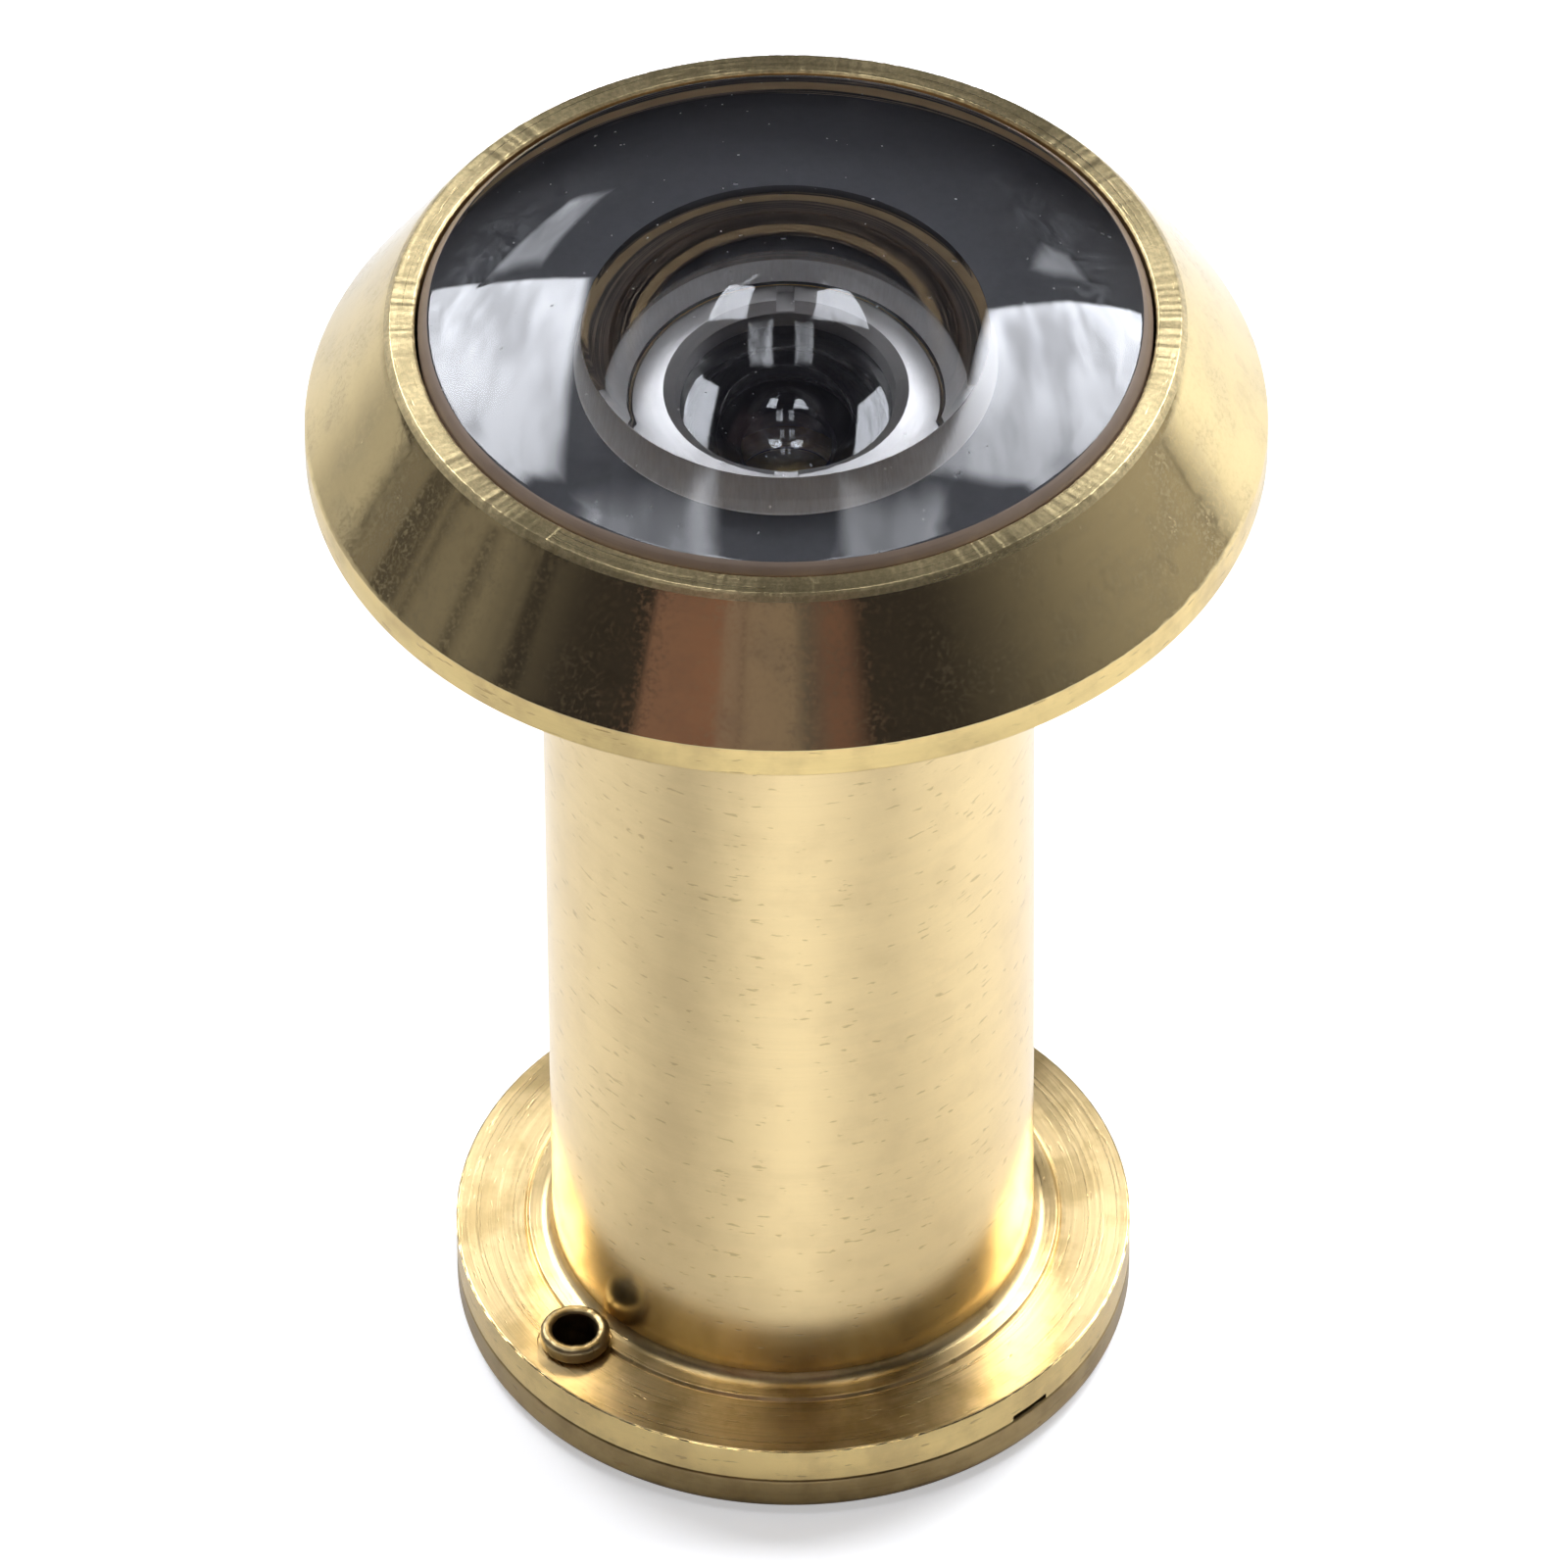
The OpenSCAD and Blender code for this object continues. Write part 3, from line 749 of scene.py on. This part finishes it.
# ---------------------------------------------------------------- cover and rivet
def cover():
    r = reach("swing_cover")
    face_z = COVER_TOP + 0.015    # half the air under the flange, which looks as if the two touch
    outline = fillet([(0, COVER_Z, 0), (r, COVER_Z, 0.4), (r, face_z, 0.11), (0, face_z, 0)], steps=8)

    def at_edge(a, z):
        return abs(z - COVER_TOP) < 0.04 and a > r - 0.1

    t = Turning()
    t.profile(outline, 360, closed=False, burrs=[(at_edge, 260, 0.008, 41)])
    obj = t.build("cover_turned", [M_COVER])
    hole = 0.95
    cut(obj, [rivet_drill("cut_cover_hole", [(0, COVER_Z - 1), (hole, COVER_Z - 1), (hole, COVER_TOP + 1),
                                             (0, COVER_TOP + 1)], 48, M_COVER)])
    settle(obj, "cover", ["swing_cover"])


def rivet():
    lip_z, lip_top = SEAT_Z - 0.02, top("cover_rivet")
    hole, shank, lip = 0.725, 0.95, 1.125
    head_under = [(0, 0), (1.0, 0), (1.12, 0.02), (1.22, 0.09), (1.25, 0.16), (1.25, COVER_Z - 0.03), (1.22, COVER_Z)]
    rolled = arc(lip - 0.17, lip_z + 0.2, 0.17, 300, 360, 4) + arc(lip - 0.2, lip_top - 0.2, 0.2, 0, 88, 8)
    mouth = [(hole + 0.14, lip_top - 0.005), (hole + 0.05, lip_top - 0.04), (hole + 0.01, lip_top - 0.11),
             (hole, lip_top - 0.2)]
    outline = [
        *head_under, (shank, COVER_Z), (shank, lip_z - 0.01), (1.0, lip_z), *((r, z) for r, z, _ in rolled),
        *mouth, (hole, COVER_Z + 0.34), (hole - 0.08, COVER_Z + 0.25), (0, COVER_Z + 0.12),
    ]
    turned("rivet_rolled", outline, 96, [M_RIVET, M_RIVET_HOLE_SHADE], "cover", "rivet_brass", ["cover_rivet"],
           place(RIVET_ANGLE, RIVET_AT), closed=False, burrs=[(lambda r, z: z > lip_top - 0.25, 24, 0.02, 51)],
           slot_of=lambda r, z: 1 if r < hole + 0.02 and z > COVER_Z + 0.05 else 0)


# ---------------------------------------------------------------- rings that stay as CAD made them
def dress(node, material):
    obj = NODES[node]
    obj.data.materials.clear()
    obj.data.materials.append(material)


head()
sleeve()
front_lens()
inner_lenses()
cover()
rivet()
for node, material in (("lens_mask", M_BLACK), ("lens_retainer", M_RING), ("lens_spacer", M_BLACK),
                       ("eyepiece_ring", M_INNER), ("eyepiece_gasket", M_RUBBER)):
    dress(node, material)


# ---------------------------------------------------------------- floor, light and camera
def floor():
    mesh = bpy.data.meshes.new("floor")
    size = 3.0
    mesh.from_pydata([(-size, -size, 0), (size, -size, 0), (size, size, 0), (-size, size, 0)], [], [(0, 1, 2, 3)])
    t = Tree("floor_white")
    x, y, _ = (t.node("ShaderNodeSeparateXYZ", Vector=t.coord).outputs[i] for i in range(3))
    away = t.math("SQRT", t.math("ADD", t.math("MULTIPLY", x, x), t.math("MULTIPLY", y, y)))
    away = t.math("SUBTRACT", away, t.math("MULTIPLY", x, 0.5))
    grain = t.math("MULTIPLY", t.noise(t.coord, 40.0, 3.0, 0.5), 0.03)
    # Painted light and shade on the floor: brightest close to the object and towards the right, fading further off, and
    # darker to the left; the grain is the sheet's own texture.
    painted_floor_light = t.math("SUBTRACT", t.span(away, 0.10, 0.45, 0.88, 0.42), grain)
    painted_floor_light = t.math("MULTIPLY", painted_floor_light, t.span(x, -0.035, 0.0, 0.78, 1.0))
    t.put(t.bsdf, "Base_Color", t.vector(painted_floor_light, painted_floor_light, painted_floor_light))
    t.bsdf.inputs["Roughness"].default_value = 0.9
    t.bsdf.inputs["Specular IOR Level"].default_value = 0.0
    t.bsdf.inputs["Emission Color"].default_value = (1, 1, 1, 1)
    seen = t.node("ShaderNodeLightPath").outputs["Is Camera Ray"]
    t.put(t.bsdf, "Emission_Strength", t.math("MULTIPLY", seen, 0.45))
    mesh.materials.append(t.mat)
    obj = bpy.data.objects.new("floor", mesh)
    bpy.context.scene.collection.objects.link(obj)


def world():
    w = bpy.data.worlds.new("studio")
    bpy.context.scene.world = w
    w.use_nodes = True
    nt = w.node_tree
    nt.nodes.clear()
    t = Tree.__new__(Tree)
    t.nt = nt
    where = t.node("ShaderNodeTexCoord").outputs["Generated"]
    x, y, z = (t.node("ShaderNodeSeparateXYZ", Vector=where).outputs[i] for i in range(3))
    azimuth = t.math("MULTIPLY", t.math("ARCTAN2", x, t.math("MULTIPLY", y, -1.0)), 180 / math.pi)
    elevation = t.math("MULTIPLY", t.math("ARCSINE", z), 180 / math.pi)
    low = t.span(elevation, 40, 28, 0.0, 1.0)
    right = t.math("MULTIPLY", t.span(azimuth, 30, 110, 0.0, 1.0), t.span(azimuth, 165, 140, 0.0, 1.0))
    left = t.math("MULTIPLY", t.span(azimuth, -45, -105, 0.0, 1.0), t.span(azimuth, -165, -140, 0.0, 1.0))
    slats = t.vector(t.math("MULTIPLY", azimuth, 0.11), t.math("MULTIPLY", elevation, 0.03), 0.0)
    slats = t.noise(slats, 1.0, 2.0, 0.6)
    left = t.math("MULTIPLY", left, t.span(slats, 0.42, 0.58, 0.3, 2.0))
    # What stands at the camera: a few upright stripes, dim and warm.
    stripes = t.ramp(t.span(azimuth, -36, 24, 0.0, 1.0, smooth=False), [
        (0.0, (0, 0, 0)), (0.04, (0, 0, 0)), (0.055, (0.165, 0.10, 0.105)), (0.33, (0.18, 0.095, 0.09)),
        (0.345, (0.19, 0.15, 0.17)), (0.40, (0.19, 0.15, 0.17)), (0.42, (0.11, 0.08, 0.09)),
        (0.44, (0.20, 0.165, 0.18)), (0.62, (0.19, 0.16, 0.17)), (0.66, (0.08, 0.075, 0.09)),
        (0.70, (0.08, 0.065, 0.08)), (0.76, (0.12, 0.065, 0.065)), (0.83, (0.11, 0.06, 0.06)),
        (0.90, (0, 0, 0)), (1.0, (0, 0, 0))])
    stripes = t.mix(low, (0, 0, 0), stripes)
    dim = t.mix(t.math("MULTIPLY", right, low), (0.034, 0.033, 0.042), (0.42, 0.42, 0.44))
    dim = t.mix(t.math("MULTIPLY", left, low), dim, (0.20, 0.20, 0.22))
    total = t.node("ShaderNodeVectorMath", i0=dim, i1=stripes).outputs[0]
    seen = t.node("ShaderNodeBackground", Color=(0.94, 0.945, 0.95, 1), Strength=1.0)
    lit = t.node("ShaderNodeBackground", Color=total, Strength=1.0)
    path = t.node("ShaderNodeLightPath").outputs["Is Camera Ray"]
    both = t.node("ShaderNodeMixShader", Fac=path, i1=lit.outputs[0], i2=seen.outputs[0])
    out = t.node("ShaderNodeOutputWorld")
    nt.links.new(both.outputs[0], out.inputs["Surface"])


def soft_box(name, outline, radiance, streaks=0.5, seed=0.0, soft=0.1, height=0.8, near=1.0):
    """A soft light overhead, its outline given in directions from the lens: x and y for each unit of height.
    Its brightness falls off over the soft share of the way from its edge to its middle, and to the near share at
    its near end. streaks is the depth of the cloth's folds, and seed picks their pattern."""
    mesh = bpy.data.meshes.new(name)
    z = height + 0.04
    outer = [Vector((x * height, y * height, z)) for x, y in outline]
    middle = sum(outer, Vector()) / len(outer)
    inner = [p.lerp(middle, soft) for p in outer]
    n = len(outer)
    border = [(i, (i + 1) % n, (i + 1) % n + n, i + n) for i in range(n)]
    mesh.from_pydata([tuple(p) for p in outer + inner], [], border + [tuple(range(n, 2 * n))])
    mesh.attributes.new("edge", "FLOAT", "POINT").data.foreach_set("value", [0.0] * n + [1.0] * n)
    t = Tree(name)
    t.nt.nodes.remove(t.bsdf)
    x, y, _ = (t.node("ShaderNodeSeparateXYZ", Vector=t.coord).outputs[i] for i in range(3))
    where = t.vector(t.math("ADD", t.math("MULTIPLY", x, 7.0), seed), t.math("MULTIPLY", y, 1.6), seed)
    folds = t.noise(where, 1.0, 3.0, 0.6)
    edge = t.node("ShaderNodeAttribute")
    edge.attribute_name = "edge"
    ragged = t.math("ADD", edge.outputs["Fac"], t.math("MULTIPLY", t.math("SUBTRACT", folds, 0.5), 0.8))
    glow = t.span(folds, 0.35, 0.65, 1 - streaks, 1 + streaks)
    glow = t.math("MULTIPLY", glow, t.span(ragged, 0.0, 0.8, 0.0, 1.0))
    glow = t.math("MULTIPLY", glow, t.span(y, 0.35 * height, 1.1 * height, near, 1.0))
    light = t.node("ShaderNodeEmission", Color=(0.94, 0.97, 1.04, 1), Strength=t.math("MULTIPLY", glow, radiance))
    out = next(n for n in t.nt.nodes if n.type == "OUTPUT_MATERIAL")
    t.nt.links.new(light.outputs[0], out.inputs["Surface"])
    mesh.materials.append(t.mat)
    obj = bpy.data.objects.new(name, mesh)
    obj.visible_camera = False
    bpy.context.scene.collection.objects.link(obj)


floor()
world()
# Two large soft boxes hang behind the object to the left and right, two smaller ones over it, and a faint one beyond
# each of the large ones.
soft_box("soft_left", [(-0.415, 0.34), (-0.415, 1.21), (-0.66, 1.43), (-0.98, 1.77), (-1.15, 1.9), (-1.2, 0.6)],
         12.0, streaks=0.3, seed=1.3, soft=0.12, near=0.75)
soft_box("soft_right", [(0.25, 0.30), (0.35, 0.64), (0.42, 1.0), (0.648, 1.245), (0.926, 1.47), (1.25, 1.6),
                        (1.35, 0.45)],
         15.0, streaks=0.4, seed=4.1, soft=0.12, near=0.45)
soft_box("top_left", [(-0.43, -0.35), (-0.43, 0.35), (-0.115, 0.35), (-0.115, -0.35)],
         4.8, streaks=0.6, seed=7.7, soft=0.5)
soft_box("top_right", [(0.085, -0.35), (0.085, 0.32), (0.31, 0.32), (0.31, -0.35)],
         4.4, streaks=0.4, seed=9.2, soft=0.5)
soft_box("veil_left", [(-0.46, 2.3), (-0.62, 2.3), (-0.78, 1.5), (-0.58, 1.42)],
         3.5, streaks=0.3, seed=3.0, soft=0.5)
soft_box("veil_right", [(0.56, 1.35), (0.66, 1.75), (0.76, 1.75), (0.78, 1.45)],
         2.4, streaks=0.3, seed=5.0, soft=0.9)


def camera():
    """The picture's own viewpoint: a long lens, 44 degrees up, and rolled by the half degree that the object leans."""
    distance, elevation, target = 0.68454, math.radians(43.985), 0.02203
    data = bpy.data.cameras.new("camera")
    data.sensor_width = 36
    data.lens = 497.133
    data.clip_start, data.clip_end = 0.05, 20
    obj = bpy.data.objects.new("camera", data)
    bpy.context.scene.collection.objects.link(obj)
    side = -0.00017
    back = Vector((0, -math.cos(elevation), math.sin(elevation)))
    place_at = Vector((side, 0, target)) + back * distance
    turn = (-back).to_track_quat("-Z", "Y").to_matrix().to_4x4() @ Matrix.Rotation(math.radians(-0.5), 4, "Z")
    obj.matrix_world = Matrix.Translation(place_at) @ turn
    bpy.context.scene.camera = obj


camera()
scene = bpy.context.scene
scene.view_settings.view_transform = "Standard"
scene.view_settings.look = "None"
scene.cycles.max_bounces = 24
scene.cycles.transmission_bounces = 24
scene.cycles.glossy_bounces = 12
scene.cycles.diffuse_bounces = 4
scene.cycles.use_denoising = True
